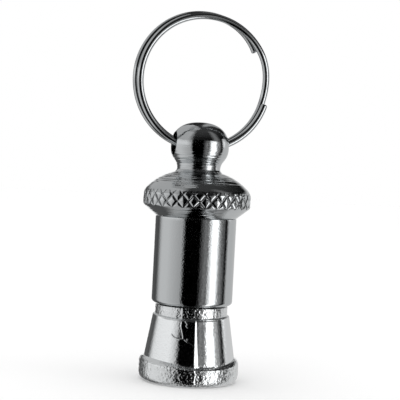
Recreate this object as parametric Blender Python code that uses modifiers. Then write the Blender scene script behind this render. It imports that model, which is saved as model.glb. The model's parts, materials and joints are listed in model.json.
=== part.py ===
"""Address capsule keychain.

A plated metal capsule that holds a rolled paper slip. The turned head has a ball
with a cross hole for a split ring, a dome and a diamond-knurled rim. It is fixed in
a plain barrel. The barrel screws onto the hollow spigot of a die-cast base, against
a rubber ring.

The origin is at the middle of the foot's underside and +Z runs up the capsule's axis.
The split ring stands upright in the XZ plane, and the ball's hole runs along X.
"""

import math

import bmesh
import bpy
from mathutils import Matrix, Vector

mm = 0.001
quarter_turn = math.radians(90)
full_turn = math.radians(360)

# Fits that several pieces share
seat_gap = 0.05 * mm
running_gap = 0.15 * mm
cut_overrun = 1.0 * mm
weld_distance = 0.01 * mm

# Foot flange of the base
foot_radius = 7.38 * mm
foot_height = 3.65 * mm
foot_bottom_round = 1.10 * mm
foot_top_round = 1.00 * mm

# Cone of the base
cone_length = 6.20 * mm
cone_bottom_radius = 6.70 * mm
cone_top_radius = 5.70 * mm
cone_shoulder_round = 0.25 * mm

# Collar of the base
collar_radius = 5.36 * mm
collar_length = 1.34 * mm
collar_fillet = 0.12 * mm

# Thread between the base and the barrel, drawn at its roots and left plain here
thread_height = 0.55 * mm
thread_clearance = 0.10 * mm
thread_length = 5.00 * mm
thread_lead_chamfer = 0.40 * mm

# Well inside the base
spigot_wall = 0.80 * mm
well_floor = 3.60 * mm
well_mouth_chamfer = 0.25 * mm

# Rubber ring at the root of the spigot
seal_section_radius = 0.40 * mm
seal_squeeze = 0.03 * mm
seam_gap = 0.20 * mm

# Barrel
barrel_radius = 6.00 * mm
barrel_length = 12.85 * mm
barrel_wall = 1.50 * mm
barrel_wall_at_thread = 0.95 * mm
barrel_wall_at_socket = 1.00 * mm
barrel_bottom_round = 0.60 * mm
barrel_top_round = 0.15 * mm
thread_relief = 0.60 * mm

# Spigot of the head in the barrel
head_spigot_length = 3.20 * mm
head_spigot_chamfer = 0.30 * mm

# Knurled rim of the head
rim_radius = 7.95 * mm
rim_band_height = 1.00 * mm
rim_lower_round = 0.80 * mm
rim_upper_round = 1.90 * mm
under_rim_height = 1.93 * mm
under_rim_slope = math.radians(39)
knurl_count = 30
knurl_rise = 0.65 * mm
knurl_height = 2.27 * mm
knurl_depth = 0.28 * mm
knurl_groove_width = 0.48 * mm

# Dome of the head
dome_round = 8.33 * mm
dome_edge_normal = math.radians(44)
dome_top_normal = math.radians(74)
flare_fillet = 0.60 * mm
flare_end_normal = math.radians(35)

# Neck and ball of the head
neck_radius = 3.20 * mm
neck_foot_height = 0.38 * mm
neck_foot_round = 0.47 * mm
ball_radius = 4.33 * mm
ball_skirt_height = 3.14 * mm
ball_crown_height = 3.73 * mm
ball_crown_fullness = 2.35
ball_skirt_convex_share = 0.62

# Cross hole of the ball
eye_hole_radius = 1.75 * mm
eye_hole_rise = 0.46 * mm
eye_countersink = 0.18 * mm

# Split ring
ring_outer_radius = 10.30 * mm
ring_wire_width = 1.00 * mm
ring_wire_thickness = 1.00 * mm
ring_wire_corner = 0.30 * mm
ring_strand_gap = 0.05 * mm
ring_wire_sag = 0.52 * mm
ring_front_end = math.radians(-16)
ring_back_end = math.radians(31)
ring_strand_shift = 0.14 * mm
ring_strand_drop = 0.09 * mm
ring_strand_growth = 0.06 * mm
ring_tip_spring = 0.45 * mm
ring_tip_sweep = math.radians(38)
ring_points = 90

# Address slip
slip_thickness = 0.10 * mm
slip_turn_pitch = 0.16 * mm
slip_turns = 2.2
slip_end_clearance = 0.30 * mm

# Fineness of the round shapes
turned_steps = 2 * knurl_count
tube_steps = 48
seal_steps = 40
seal_section_steps = 8
slip_steps = 76
small_corner_steps = 2
corner_steps = 3
curve_steps = 5
smooth_under = math.radians(32)

# Radii and heights that follow from the sizes above
barrel_bore_radius = barrel_radius - barrel_wall
thread_bore_radius = barrel_radius - barrel_wall_at_thread
thread_root_radius = thread_bore_radius - thread_clearance - thread_height
well_radius = thread_root_radius - spigot_wall
socket_radius = barrel_radius - barrel_wall_at_socket
head_spigot_radius = socket_radius - seat_gap
ring_wire_radius = ring_outer_radius - ring_wire_width / 2
ring_rise = ring_wire_radius - ring_wire_sag
collar_height = foot_height + cone_length
collar_top = collar_height + collar_length
seal_center_height = collar_top + seal_squeeze + seal_section_radius
barrel_bottom = collar_top + seam_gap
seal_pocket_depth = 2 * (seal_squeeze + seal_section_radius) - seam_gap
spigot_top = barrel_bottom + seal_pocket_depth + thread_length
barrel_top = barrel_bottom + barrel_length
head_seat = barrel_top + seat_gap
rim_bottom = under_rim_height
rim_top = rim_bottom + rim_band_height
knurl_middle = rim_bottom + knurl_rise
knurl_bottom = knurl_middle - knurl_height / 2
knurl_top = knurl_middle + knurl_height / 2


def clear_scene():
    for old in list(bpy.data.objects):
        bpy.data.objects.remove(old)


def new_collection(name, hidden=False):
    made = bpy.data.collections.new(name)
    made.hide_render = hidden
    bpy.context.scene.collection.children.link(made)
    return made


def metal(name, color, roughness, metallic=1.0):
    made = bpy.data.materials.new(name)
    made.use_nodes = True
    shader = made.node_tree.nodes["Principled BSDF"]
    shader.inputs["Base Color"].default_value = (*color, 1.0)
    shader.inputs["Roughness"].default_value = roughness
    shader.inputs["Metallic"].default_value = metallic
    return made


def arc(center, radius, start, end, steps):
    """Points of an arc in the XZ plane, as (distance from the axis, height) pairs."""
    points = []
    for step in range(steps + 1):
        angle = start + (end - start) * step / steps
        x = center[0] + radius * math.cos(angle)
        z = center[1] + radius * math.sin(angle)
        points.append((x, z))
    return points


def add_object(name, mesh, collection, location=(0, 0, 0), parent=None):
    made = bpy.data.objects.new(name, mesh)
    collection.objects.link(made)
    made.location = location
    made.parent = parent
    return made


def axis_empty(name, location, parent=None):
    made = bpy.data.objects.new(name, None)
    bpy.context.scene.collection.objects.link(made)
    made.location = location
    made.parent = parent
    return made


def turned(name, profile, steps, collection, closed=False):
    """A profile that runs down its outer side, turned round the Z axis."""
    mesh = bpy.data.meshes.new(name)
    vertices = [(x, 0, z) for x, z in profile]
    edges = [(i, i + 1) for i in range(len(profile) - 1)]
    if closed:
        edges.append((len(profile) - 1, 0))
    mesh.from_pydata(vertices, edges, [])
    made = add_object(name, mesh, collection)
    screw = made.modifiers.new("turn", "SCREW")
    screw.axis = "Z"
    screw.angle = full_turn
    screw.steps = steps
    screw.render_steps = steps
    screw.use_merge_vertices = True
    screw.merge_threshold = weld_distance
    return made


def evaluated_mesh(source):
    graph = bpy.context.evaluated_depsgraph_get()
    return bpy.data.meshes.new_from_object(source.evaluated_get(graph))


def finish(made, material):
    """Keeps the object's evaluated shape, shaded smooth but for its sharp edges."""
    mesh = evaluated_mesh(made)
    made.modifiers.clear()
    made.data = mesh
    mesh.materials.clear()
    mesh.materials.append(material)
    mesh.shade_smooth()
    mesh.set_sharp_from_angle(angle=smooth_under)


def cut(made, cutter):
    boolean = made.modifiers.new("cut", "BOOLEAN")
    boolean.operation = "DIFFERENCE"
    boolean.solver = "EXACT"
    boolean.object = cutter


def as_cutter(made):
    made.hide_render = True
    made.display_type = "WIRE"


def base_profile():
    """The outer side from the spigot's mouth down to the foot, then the well's wall."""
    foot_bottom_center = (foot_radius - foot_bottom_round, foot_bottom_round)
    foot_top_center = (foot_radius - foot_top_round, foot_height - foot_top_round)
    crease_angle = math.acos((cone_bottom_radius - foot_top_center[0]) / foot_top_round)
    shoulder_center = (
        cone_top_radius - cone_shoulder_round,
        collar_height - cone_shoulder_round,
    )
    fillet_center = (collar_radius + collar_fillet, collar_height + collar_fillet)
    points = [
        (well_radius + well_mouth_chamfer, spigot_top),
        (thread_root_radius - thread_lead_chamfer, spigot_top),
        (thread_root_radius, spigot_top - thread_lead_chamfer),
        (thread_root_radius, collar_top),
        (collar_radius, collar_top),
    ]
    half_turn = 2 * quarter_turn
    points += arc(
        fillet_center, collar_fillet, half_turn, half_turn + quarter_turn, small_corner_steps
    )
    points += arc(shoulder_center, cone_shoulder_round, quarter_turn, 0, corner_steps)
    points += arc(foot_top_center, foot_top_round, crease_angle, 0, curve_steps)
    points += arc(foot_bottom_center, foot_bottom_round, 0, -quarter_turn, curve_steps)
    points += [
        (0, 0),
        (0, well_floor),
        (well_radius, well_floor),
        (well_radius, spigot_top - well_mouth_chamfer),
    ]
    return points


def make_base(collection, material):
    points = base_profile()
    underside = points.index((0, 0))
    outer = points[: underside + 1]
    inner = points[underside + 1 :]
    made = turned("base", outer + inner + [points[0]], tube_steps, collection)
    finish(made, material)
    return made


def barrel_profile():
    """A closed outline: down the outside, then up through the pocket, thread and bore."""
    top_center = (barrel_radius - barrel_top_round, barrel_length - barrel_top_round)
    bottom_center = (barrel_radius - barrel_bottom_round, barrel_bottom_round)
    seal_outer_radius = thread_root_radius + seat_gap + 2 * seal_section_radius
    pocket_radius = seal_outer_radius + seat_gap
    thread_top = seal_pocket_depth + thread_length + thread_relief
    socket_floor = barrel_length - head_spigot_length - seat_gap
    points = arc(top_center, barrel_top_round, quarter_turn, 0, small_corner_steps)
    points += arc(bottom_center, barrel_bottom_round, 0, -quarter_turn, corner_steps)
    points += [
        (pocket_radius, 0),
        (pocket_radius, seal_pocket_depth),
        (thread_bore_radius, seal_pocket_depth),
        (thread_bore_radius, thread_top),
        (barrel_bore_radius, thread_top),
        (barrel_bore_radius, socket_floor),
        (socket_radius, socket_floor),
        (socket_radius, barrel_length),
    ]
    return points


def make_barrel(collection, material, parent):
    made = turned("barrel", barrel_profile(), tube_steps, collection, closed=True)
    finish(made, material)
    made.location.z = barrel_bottom
    made.parent = parent
    return made


def crown_points():
    """The top of the ball, a quarter of a superellipse from the pole to the widest ring."""
    power = 2 / ball_crown_fullness
    points = []
    for step in range(curve_steps + 2):
        angle = quarter_turn * (1 - step / (curve_steps + 1))
        x = ball_radius * abs(math.cos(angle)) ** power
        z = ball_crown_height * math.sin(angle) ** power
        points.append((x if step else 0, z))
    return points


def skirt_points():
    """Two tangent arcs that lead from the ball's widest ring down to the neck."""
    inset = ball_radius - neck_radius
    turn = 2 * math.atan(inset / ball_skirt_height)
    both = ball_skirt_height / math.sin(turn)
    convex = both * ball_skirt_convex_share
    concave = both - convex
    upper = arc((ball_radius - convex, 0), convex, 0, -turn, curve_steps)
    lower_center = (neck_radius + concave, -ball_skirt_height)
    lower = arc(lower_center, concave, 2 * quarter_turn - turn, 2 * quarter_turn, corner_steps)
    return upper + lower[1:]


def rim_and_dome_points():
    """From the flare under the neck, over the dome, round the rim and down to the seat."""
    upper_center = (rim_radius - rim_upper_round, rim_top)
    dome_center = (
        upper_center[0] - (dome_round - rim_upper_round) * math.cos(dome_edge_normal),
        upper_center[1] - (dome_round - rim_upper_round) * math.sin(dome_edge_normal),
    )
    flare_center = (
        dome_center[0] + (dome_round + flare_fillet) * math.cos(dome_top_normal),
        dome_center[1] + (dome_round + flare_fillet) * math.sin(dome_top_normal),
    )
    half_turn = 2 * quarter_turn
    flare_start = half_turn + flare_end_normal
    flare_end = half_turn + dome_top_normal
    lower_center = (rim_radius - rim_lower_round, rim_bottom)
    lower_turn = quarter_turn - under_rim_slope
    upper_turn = math.asin((knurl_top - rim_top) / rim_upper_round)
    knurl_turn = math.asin((rim_bottom - knurl_bottom) / rim_lower_round)
    points = arc(flare_center, flare_fillet, flare_start, flare_end, corner_steps)
    points += arc(dome_center, dome_round, dome_top_normal, dome_edge_normal, curve_steps)[1:]
    upper = arc(upper_center, rim_upper_round, dome_edge_normal, upper_turn, small_corner_steps)
    points += upper[1:]
    points.append((rim_radius, knurl_middle))
    points += arc(lower_center, rim_lower_round, -knurl_turn, -lower_turn, 1)
    last = points[-1]
    points.append((last[0] - last[1] / math.tan(under_rim_slope), 0))
    return points


def head_profile():
    """The head's outline and the height of the ball's widest ring above the seat."""
    rim_and_dome = rim_and_dome_points()
    crease = rim_and_dome[0]
    neck_height = crease[1] + neck_foot_height
    ball_height = neck_height + ball_skirt_height
    neck_foot_center = (neck_radius + neck_foot_round, neck_height)
    neck_foot_turn = math.asin(neck_foot_height / neck_foot_round)
    half_turn = 2 * quarter_turn
    neck_foot = arc(
        neck_foot_center, neck_foot_round, half_turn, half_turn + neck_foot_turn, corner_steps
    )
    points = [(x, z + ball_height) for x, z in crown_points()]
    points += [(x, z + ball_height) for x, z in skirt_points()[1:]]
    points += neck_foot[1:-1]
    points += rim_and_dome
    points += [
        (head_spigot_radius, 0),
        (head_spigot_radius, head_spigot_chamfer - head_spigot_length),
        (head_spigot_radius - head_spigot_chamfer, -head_spigot_length),
        (0, -head_spigot_length),
    ]
    return points, ball_height


def eye_hole_cutter(collection, height):
    """A bar along X through the ball, widened at each mouth by a countersink."""
    reach = ball_radius + cut_overrun
    mouth = ball_radius - 2 * eye_countersink
    wide = eye_hole_radius + reach - mouth
    profile = [(0, reach), (wide, reach), (eye_hole_radius, mouth)]
    profile += [(eye_hole_radius, -mouth), (wide, -reach), (0, -reach)]
    made = turned("eye_hole_cutter", profile, tube_steps // 2, collection)
    made.rotation_euler = (0, quarter_turn, 0)
    made.location.z = height
    as_cutter(made)
    return made


def to_radius(vertex, radius):
    """Moves a vertex straight out from the axis, or in, to this radius."""
    scale = radius / vertex.co.xy.length
    vertex.co.x *= scale
    vertex.co.y *= scale


def knurl_row(vertex):
    """Which edge of the knurled band a vertex lies on: 0, 1 or 2 upwards, or None."""
    for row, height in enumerate((knurl_bottom, knurl_middle, knurl_top)):
        if abs(vertex.co.z - height) < weld_distance and vertex.co.xy.length > barrel_radius:
            return row
    return None


def is_groove_crossing(vertex):
    """Grooves of the two hands cross in every second column, by turns in each row."""
    row = knurl_row(vertex)
    if row is None:
        return False
    angle = math.atan2(vertex.co.y, vertex.co.x)
    column = round(angle / full_turn * turned_steps)
    return (row == 1) == (column % 2 == 0)


def knurl(mesh):
    """Cuts the diamonds into the band of quads round the rim.

    Each quad is split along the groove that crosses it. The pieces round a point
    between the grooves are joined into a diamond, or a half diamond at the band's
    edge. Each diamond is inset by half a groove, the crossings sink to the grooves'
    depth, and the diamonds are crowned.
    """
    shape = bmesh.new()
    shape.from_mesh(mesh)
    band = [f for f in shape.faces if all(knurl_row(v) is not None for v in f.verts)]
    for face in band:
        ends = [v for v in face.verts if is_groove_crossing(v)]
        bmesh.utils.face_split(face, ends[0], ends[1])
    middles = [v for v in shape.verts if knurl_row(v) == 1 and not is_groove_crossing(v)]
    bmesh.ops.dissolve_verts(shape, verts=middles)
    uprights = []
    for edge in shape.edges:
        rows = [knurl_row(v) for v in edge.verts]
        crossings = [is_groove_crossing(v) for v in edge.verts]
        if None not in rows and 1 in rows and crossings.count(True) == 1:
            uprights.append(edge)
    bmesh.ops.dissolve_edges(shape, edges=uprights, use_verts=False)
    crossings = [v for v in shape.verts if is_groove_crossing(v)]
    diamonds = [f for f in shape.faces if all(knurl_row(v) is not None for v in f.verts)]
    bmesh.ops.inset_individual(
        shape, faces=diamonds, thickness=knurl_groove_width / 2, use_even_offset=True
    )
    for vertex in crossings:
        to_radius(vertex, rim_radius - knurl_depth)
    crowns = {}
    for face in diamonds:
        crowns[face.calc_center_median().freeze()] = max(v.co.xy.length for v in face.verts)
    for vertex in bmesh.ops.poke(shape, faces=diamonds)["verts"]:
        nearest = min(crowns, key=lambda place: (place - vertex.co).length)
        to_radius(vertex, crowns[nearest])
    shape.to_mesh(mesh)
    shape.free()


def make_head(collection, cutters, material, parent):
    profile, ball_height = head_profile()
    made = turned("head", profile, turned_steps, collection)
    mesh = evaluated_mesh(made)
    made.modifiers.clear()
    made.data = mesh
    knurl(mesh)
    cut(made, eye_hole_cutter(cutters, ball_height + eye_hole_rise))
    bpy.context.view_layer.update()
    finish(made, material)
    made.location.z = head_seat
    made.parent = parent
    return made


def make_seal(collection, material):
    middle_radius = thread_root_radius + seat_gap + seal_section_radius
    bpy.ops.mesh.primitive_torus_add(
        major_radius=middle_radius,
        minor_radius=seal_section_radius,
        major_segments=seal_steps,
        minor_segments=seal_section_steps,
    )
    made = bpy.context.object
    made.name = "seal_ring"
    made.data.name = "seal_ring"
    for owner in list(made.users_collection):
        owner.objects.unlink(made)
    collection.objects.link(made)
    finish(made, material)
    made.location.z = seal_center_height
    return made


def smooth_step(share):
    share = min(max(share, 0), 1)
    return share * share * (3 - 2 * share)


def ring_point(travel):
    """A point of the wire's middle line, this far along it in radians from its front end."""
    sweep = 2 * full_turn - (ring_back_end - ring_front_end)
    crossing = full_turn - (ring_back_end - ring_front_end)
    share = smooth_step((travel - crossing) / (full_turn - crossing))
    side = 1 - 2 * share
    spring = ring_tip_spring * max(0, 1 - (sweep - travel) / ring_tip_sweep) ** 2
    radius = ring_wire_radius - side * ring_strand_growth - spring
    angle = ring_front_end - travel
    x = side * ring_strand_shift + radius * math.cos(angle)
    z = ring_rise - side * ring_strand_drop + radius * math.sin(angle)
    y = -side * (ring_wire_thickness + ring_strand_gap) / 2
    return Vector((x, y, z))


def wire_section(collection):
    """The wire's section, a square with rounded corners, as a closed flat curve."""
    across = ring_wire_width / 2 - ring_wire_corner
    along = ring_wire_thickness / 2 - ring_wire_corner
    outline = []
    for quarter, (side, end) in enumerate(((1, 1), (-1, 1), (-1, -1), (1, -1))):
        center = (side * across, end * along)
        start = quarter * quarter_turn
        outline += arc(center, ring_wire_corner, start, start + quarter_turn, small_corner_steps)
    curve = bpy.data.curves.new("wire_section", "CURVE")
    curve.dimensions = "2D"
    spline = curve.splines.new("POLY")
    spline.points.add(len(outline) - 1)
    for point, (x, y) in zip(spline.points, outline):
        point.co = (x, y, 0, 1)
    spline.use_cyclic_u = True
    made = bpy.data.objects.new("wire_section", curve)
    collection.objects.link(made)
    as_cutter(made)
    return made


def make_ring(collection, cutters, material, parent):
    """The wire is swept flat, with the ring's axis along Z, and then stood upright."""
    sweep = 2 * full_turn - (ring_back_end - ring_front_end)
    upright = Matrix.Rotation(quarter_turn, 4, "X")
    curve = bpy.data.curves.new("split_ring", "CURVE")
    curve.dimensions = "3D"
    curve.twist_mode = "Z_UP"
    curve.bevel_mode = "OBJECT"
    curve.bevel_object = wire_section(cutters)
    curve.use_fill_caps = True
    spline = curve.splines.new("POLY")
    spline.points.add(ring_points - 1)
    for step, point in enumerate(spline.points):
        place = upright.inverted() @ ring_point(sweep * step / (ring_points - 1))
        point.co = (*place, 1)
    swept = bpy.data.objects.new("split_ring_path", curve)
    collection.objects.link(swept)
    mesh = evaluated_mesh(swept)
    bpy.data.objects.remove(swept)
    shape = bmesh.new()
    shape.from_mesh(mesh)
    bmesh.ops.remove_doubles(shape, verts=shape.verts, dist=weld_distance)
    bmesh.ops.transform(shape, matrix=upright, verts=shape.verts)
    bmesh.ops.recalc_face_normals(shape, faces=shape.faces)
    shape.to_mesh(mesh)
    shape.free()
    made = add_object("split_ring", mesh, collection, parent=parent)
    finish(made, material)
    return made


def make_slip(collection, material):
    """A strip of paper rolled into a loose spiral that stands in the base's well."""
    height = barrel_top - head_spigot_length - well_floor - 2 * slip_end_clearance
    outer_radius = well_radius - running_gap - slip_thickness / 2
    shape = bmesh.new()
    edges = []
    previous = None
    for step in range(slip_steps + 1):
        turns = slip_turns * step / slip_steps
        radius = outer_radius - slip_turn_pitch * turns
        angle = full_turn * turns
        place = (radius * math.cos(angle), radius * math.sin(angle), 0)
        vertex = shape.verts.new(place)
        if previous:
            edges.append(shape.edges.new((previous, vertex)))
        previous = vertex
    raised = bmesh.ops.extrude_edge_only(shape, edges=edges)["geom"]
    tops = [item for item in raised if isinstance(item, bmesh.types.BMVert)]
    bmesh.ops.translate(shape, verts=tops, vec=(0, 0, height))
    mesh = bpy.data.meshes.new("address_slip")
    shape.to_mesh(mesh)
    shape.free()
    made = add_object("address_slip", mesh, collection)
    solidify = made.modifiers.new("paper", "SOLIDIFY")
    solidify.thickness = slip_thickness
    solidify.offset = 0
    solidify.use_even_offset = True
    finish(made, material)
    made.location.z = well_floor + slip_end_clearance
    return made


def main():
    clear_scene()
    parts = new_collection("address_capsule_keychain")
    cutters = new_collection("cutters", hidden=True)
    plated = metal("plated_turned_metal", (0.64, 0.66, 0.67), 0.12)
    cast = metal("plated_die_casting", (0.90, 0.92, 0.93), 0.25)
    spring_wire = metal("plated_spring_wire", (0.62, 0.64, 0.65), 0.18)
    rubber = metal("black_rubber", (0.015, 0.015, 0.016), 0.6, metallic=0.0)
    paper = metal("white_paper", (0.86, 0.85, 0.80), 0.9, metallic=0.0)
    turn_axis = axis_empty("capsule_turn_axis", (0, 0, 0))
    eye_height = head_seat + head_profile()[1] + eye_hole_rise
    swing_axis = axis_empty("ring_swing_axis", (0, 0, eye_height), turn_axis)
    make_base(parts, cast)
    make_seal(parts, rubber)
    make_slip(parts, paper)
    make_barrel(parts, plated, turn_axis)
    make_head(parts, cutters, plated, turn_axis)
    make_ring(parts, cutters, spring_wire, swing_axis)


main()
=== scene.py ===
"""The looks of the address capsule keychain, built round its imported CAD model.

Every piece is drawn again with fine round surfaces and stands in place of its CAD node:
the turned head with its rolled knurling, the barrel and its inner thread, the die-cast
base, the split ring, the rubber seal and the rolled paper slip.
"""

import json
import math

import bmesh
import bpy
from bpy.props import FloatProperty, FloatVectorProperty, IntProperty, PointerProperty
from mathutils import Matrix, Vector, noise


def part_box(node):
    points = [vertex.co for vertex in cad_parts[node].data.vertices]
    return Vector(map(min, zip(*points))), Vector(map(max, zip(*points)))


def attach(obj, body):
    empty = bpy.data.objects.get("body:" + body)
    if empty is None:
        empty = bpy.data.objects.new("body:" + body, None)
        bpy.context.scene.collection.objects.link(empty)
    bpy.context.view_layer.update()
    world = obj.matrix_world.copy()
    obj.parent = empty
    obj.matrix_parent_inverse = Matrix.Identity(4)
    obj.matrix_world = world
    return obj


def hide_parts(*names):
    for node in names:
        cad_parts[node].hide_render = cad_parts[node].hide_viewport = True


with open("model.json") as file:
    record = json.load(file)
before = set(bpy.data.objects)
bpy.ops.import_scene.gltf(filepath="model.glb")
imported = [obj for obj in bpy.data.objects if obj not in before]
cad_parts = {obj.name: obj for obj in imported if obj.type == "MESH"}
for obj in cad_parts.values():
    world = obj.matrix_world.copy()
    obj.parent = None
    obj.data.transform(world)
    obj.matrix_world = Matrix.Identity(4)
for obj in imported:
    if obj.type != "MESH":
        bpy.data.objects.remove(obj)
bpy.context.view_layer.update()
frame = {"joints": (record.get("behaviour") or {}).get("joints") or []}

bl_info = {
    "name": "Address Capsule Keychain",
    "version": (1, 0, 0),
    "blender": (4, 5, 0),
    "location": "3D View > Sidebar > Capsule",
    "description": "Builds a plated address capsule with a knurled head and a split ring",
    "category": "Object",
}

mm = 0.001
quarter_turn = math.radians(90)
half_turn = math.radians(180)
full_turn = math.radians(360)
weld_distance = 0.002 * mm


def length(name, description, millimetres):
    return FloatProperty(
        name=name,
        description=description,
        default=millimetres * mm,
        unit="LENGTH",
        precision=5,
        min=0,
    )


def angle(name, description, degrees):
    return FloatProperty(
        name=name, description=description, default=math.radians(degrees), unit="ROTATION"
    )


def share(name, description, value):
    return FloatProperty(name=name, description=description, default=value, min=0, max=1)


def number(name, description, value):
    return FloatProperty(name=name, description=description, default=value, min=0)


def count(name, description, value):
    return IntProperty(name=name, description=description, default=value, min=1)


def color(name, description, red, green, blue):
    return FloatVectorProperty(
        name=name,
        description=description,
        default=(red, green, blue),
        subtype="COLOR",
        size=3,
        min=0,
        max=1,
    )


class ThreadSettings(bpy.types.PropertyGroup):
    """The screw thread that the base and the barrel share"""

    root_radius: length("Root radius", "Radius at the root of the base's thread", 4.40)
    height: length("Height", "Height of a turn of the thread", 0.55)
    clearance: length("Clearance", "Room between the two threads", 0.10)
    pitch: length("Pitch", "Lift in one turn", 1.00)
    bottom: length("Bottom", "Height at which the thread starts", 12.05)
    top: length("Top", "Height at which the thread ends", 17.05)
    run_out: length("Run-out", "Height over which the thread fades at its ends", 0.45)
    crest_share: share("Crest share", "Half the crest's width, of a pitch", 0.07)
    flank_share: share("Flank share", "From the crest's middle to the root, of a pitch", 0.40)


class HeadSettings(bpy.types.PropertyGroup):
    """The turned head"""

    columns: count("Columns", "Faces round the head", 448)
    spigot_radius: length("Spigot radius", "Radius of the spigot in the barrel", 4.95)
    spigot_length: length("Spigot length", "Length of the spigot in the barrel", 3.20)
    spigot_chamfer: length("Spigot chamfer", "Chamfer at the spigot's end", 0.30)
    rim_radius: length("Rim radius", "Radius over the knurling", 7.95)
    rim_band: length("Rim band", "Straight height of the rim", 1.00)
    rim_lower_round: length("Lower round", "Round below the rim", 0.80)
    rim_upper_round: length("Upper round", "Round from the rim to the dome", 1.90)
    under_rim: length("Under the rim", "Height of the rim's band above the seat", 1.93)
    under_rim_slope: angle("Underside slope", "Slope of the underside", 39)
    dome_round: length("Dome round", "Radius of the dome's curve", 8.33)
    dome_edge_normal: angle("Dome edge", "Direction of the dome's edge", 44)
    dome_top_normal: angle("Dome top", "Direction of the dome's top", 74)
    flare_fillet: length("Flare fillet", "Hollow round above the dome", 0.60)
    flare_end_normal: angle("Flare end", "Direction at which the hollow round ends", 35)
    neck_radius: length("Neck radius", "Radius of the neck", 3.20)
    neck_foot: length("Neck foot", "Height of the neck's foot", 0.38)
    neck_foot_round: length("Neck foot round", "Round of the neck's foot", 0.47)
    ball_radius: length("Ball radius", "Widest radius of the ball", 4.33)
    ball_skirt: length("Ball skirt", "Height of the ball below its widest ring", 3.14)
    ball_crown: length("Ball crown", "Height of the ball above its widest ring", 3.73)
    ball_fullness: number("Ball fullness", "Power of the crown's curve", 2.35)
    skirt_convex_share: share("Skirt share", "Share of the skirt that bulges", 0.62)
    eye_radius: length("Eye radius", "Radius of the cross hole", 1.75)
    eye_rise: length("Eye rise", "Height of the hole above the ball's widest ring", 0.46)
    eye_chamfer: length("Eye chamfer", "Depth of the chamfer at the hole's mouths", 0.36)
    eye_edge_band: length("Eye edge band", "Width round the hole where edges are marked", 0.96)
    knurl_count: count("Knurls", "Diamonds round the rim", 30)
    knurl_rise: length("Knurl rise", "Height of a row of crossings over the band's foot", 0.34)
    knurl_turn: angle("Knurl turn", "Turn of a crossing from the X axis", 6.2)
    knurl_height: length("Knurl height", "Height of one diamond", 1.90)
    groove_width: length("Groove width", "Width of a knurling groove", 0.32)
    groove_depth: length("Groove depth", "Depth of a knurling groove", 0.22)
    crown_drop: length("Crown drop", "Fall of a diamond from its middle to its sides", 0.06)
    knurl_wander: number("Knurl wander", "Unevenness of the rolling, waves a metre", 700)
    knurl_wander_share: share("Wander share", "How far the grooves wander, of a pitch", 0.14)


class BarrelSettings(bpy.types.PropertyGroup):
    """The plain barrel"""

    columns: count("Columns", "Faces round the barrel", 288)
    radius: length("Radius", "Outer radius", 6.00)
    bore_radius: length("Bore radius", "Radius of the bore", 4.50)
    socket_radius: length("Socket radius", "Radius of the head's socket", 5.00)
    socket_depth: length("Socket depth", "Depth of the head's socket", 3.25)
    pocket_radius: length("Pocket radius", "Radius of the seal's pocket", 5.30)
    pocket_depth: length("Pocket depth", "Depth of the seal's pocket", 0.66)
    thread_relief: length("Thread relief", "Plain length above the thread", 0.60)
    bottom_round: length("Bottom round", "Round of the lower edge", 0.60)
    top_round: length("Top round", "Round of the upper edge", 0.15)


class BaseSettings(bpy.types.PropertyGroup):
    """The die-cast base"""

    columns: count("Columns", "Faces round the base", 400)
    foot_radius: length("Foot radius", "Radius of the foot", 7.38)
    foot_height: length("Foot height", "Height of the foot", 3.65)
    foot_bottom_round: length("Foot bottom round", "Round of the foot's lower edge", 1.10)
    foot_top_round: length("Foot top round", "Round of the foot's upper edge", 1.00)
    cone_bottom_radius: length("Cone bottom", "Radius of the cone above the foot", 6.70)
    cone_top_radius: length("Cone top", "Radius of the cone's shoulder", 5.70)
    cone_length: length("Cone length", "Length of the cone", 6.20)
    shoulder_round: length("Shoulder round", "Round of the cone's shoulder", 0.25)
    collar_radius: length("Collar radius", "Radius of the collar", 5.36)
    collar_length: length("Collar length", "Length of the collar", 1.34)
    collar_fillet: length("Collar fillet", "Fillet at the collar's foot", 0.12)
    collar_round: length("Collar round", "Round of the collar's upper edge", 0.08)
    well_radius: length("Well radius", "Radius of the well", 3.60)
    well_floor: length("Well floor", "Height of the well's floor", 3.60)
    mouth_chamfer: length("Mouth chamfer", "Chamfer of the well's mouth", 0.25)
    lead_chamfer: length("Lead chamfer", "Chamfer at the thread's start", 0.40)
    casting_grain: length("Casting grain", "Height of the rough casting", 0.024)
    lump_waves: number("Lumps", "Large unevenness of the casting, waves a metre", 900)
    grain_waves: number("Grains", "Fine unevenness of the casting, waves a metre", 2300)
    parting_turn: angle("Parting turn", "Where the foot's and the cone's parting line runs", -8)
    collar_parting_turn: angle("Collar's turn", "Where the collar's parting line runs", -28)
    mould_line: length("Mould line", "Height of the mould's parting lines", 0.06)
    mould_line_width: length("Line width", "Half the width of a parting line", 0.09)
    mould_facet_top: length("Facet top", "Width of the parting facet at its top", 0.22)
    mould_facet_bottom: length("Facet bottom", "Width of the facet at its foot", 0.75)
    mould_facet_slope: share("Facet slope", "How steeply the parting facet falls", 0.34)
    mould_facet_reach: length("Facet reach", "Way round over which the facet's fall fades", 9.0)
    foot_facet_width: length("Foot facet", "Width of the facet on the foot", 0.70)
    foot_facet_slope: share("Foot facet slope", "How steeply the foot's facet falls", 0.24)
    foot_dip: length("Foot dip", "How far the foot's edge runs low in front", 0.80)
    foot_dip_turn: angle("Foot dip turn", "Where the foot's edge runs lowest", 8)
    collar_dip: length("Collar dip", "How far the shoulder runs low in front", 0.26)
    collar_dip_turn: angle("Collar dip turn", "Where the shoulder runs lowest", -18)
    scratch_height: length("Scratch height", "Height of the raised scratch", 0.045)
    scratch_width: length("Scratch width", "Half the width of the raised scratch", 0.070)


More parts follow.
